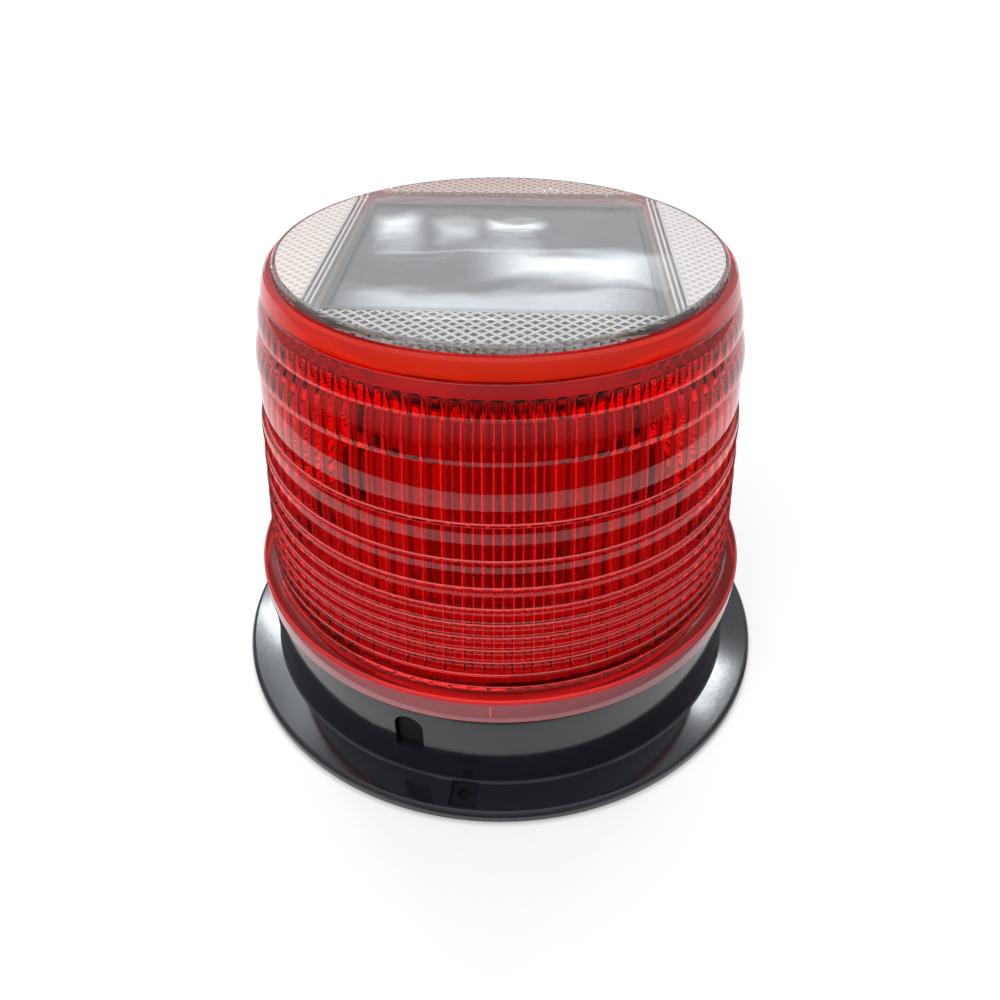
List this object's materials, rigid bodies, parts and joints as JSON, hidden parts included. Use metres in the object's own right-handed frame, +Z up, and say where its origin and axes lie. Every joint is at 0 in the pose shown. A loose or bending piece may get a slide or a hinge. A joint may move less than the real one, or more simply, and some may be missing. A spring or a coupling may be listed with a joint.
{
  "type": "solar warning light",
  "caption": "Round solar warning light with a red ringed drum lens, a clear prismatic top over a solar panel and a black screw-down base with a push button",
  "frame": {"origin": "centre of the mounting face under the flange", "axes": "+X to the right and +Y away as seen from the push button side, +Z up along the axis of the lens"},
  "size_m": [0.13, 0.13, 0.0975],
  "materials": {
    "black_plastic": "glossy moulded",
    "black_rubber": "matt",
    "plated_steel": "zinc plated",
    "white_plastic": "satin",
    "board_white": "white solder mask",
    "led_resin": "clear resin over a pale body",
    "board_green": "green solder mask",
    "chip_black": "matt moulded",
    "coil_brown": "ferrite and enamelled wire",
    "capacitor_sleeve": "shrink sleeve",
    "connector_cream": "moulded nylon",
    "holder_black": "moulded",
    "cell_sleeve": "shrink sleeve",
    "lead_red": "PVC insulation",
    "lead_white": "PVC insulation",
    "lead_black": "PVC insulation",
    "red_clear_plastic": "transparent red, polished",
    "clear_plastic": "clear, polished, prismatic underside",
    "board_tan": "glass-fibre board",
    "solar_cell": "dark silicon",
    "clear_resin": "poured resin, softly wavy",
    "bond_tape": "adhesive frame"
  },
  "bodies": {
    "base": {"base_housing": "black_plastic", "bottom_cover": "black_plastic", "bottom_seal": "black_rubber", "bottom_screws": "plated_steel", "lens_seal": "black_rubber", "reflector_plate": "white_plastic", "light_post": "white_plastic", "post_screws": "plated_steel", "led_boards": "board_white", "led_packages": "led_resin", "main_board": "board_green", "board_screws": "plated_steel", "control_chip": "chip_black", "charge_coil": "coil_brown", "capacitors": "capacitor_sleeve", "connectors": "connector_cream", "battery_holder": "holder_black", "battery_cells": "cell_sleeve", "battery_contacts": "plated_steel", "switch_body": "holder_black", "panel_leads": "lead_red", "led_leads": "lead_white", "battery_leads": "lead_red", "switch_leads": "lead_black"},
    "lens": {"red_lens": "red_clear_plastic", "top_cover": "clear_plastic", "panel_tray": "white_plastic", "panel_board": "board_tan", "solar_cells": "solar_cell", "panel_coat": "clear_resin", "panel_bond": "bond_tape"},
    "button": {"power_button": "black_rubber", "switch_stem": "connector_cream"}
  },
  "joints": [
    {"name": "lens_twist", "type": "hinge", "parent": "base", "child": "lens", "pos_m": [0, 0, 0], "axis": [0, 0, 1], "range_deg": [0, 20]},
    {"name": "button_press", "type": "slide", "parent": "base", "child": "button", "axis": [0.2924, 0.9563, 0], "range_m": [0, 0.0015], "stiffness_N_per_m": 300}
  ]
}
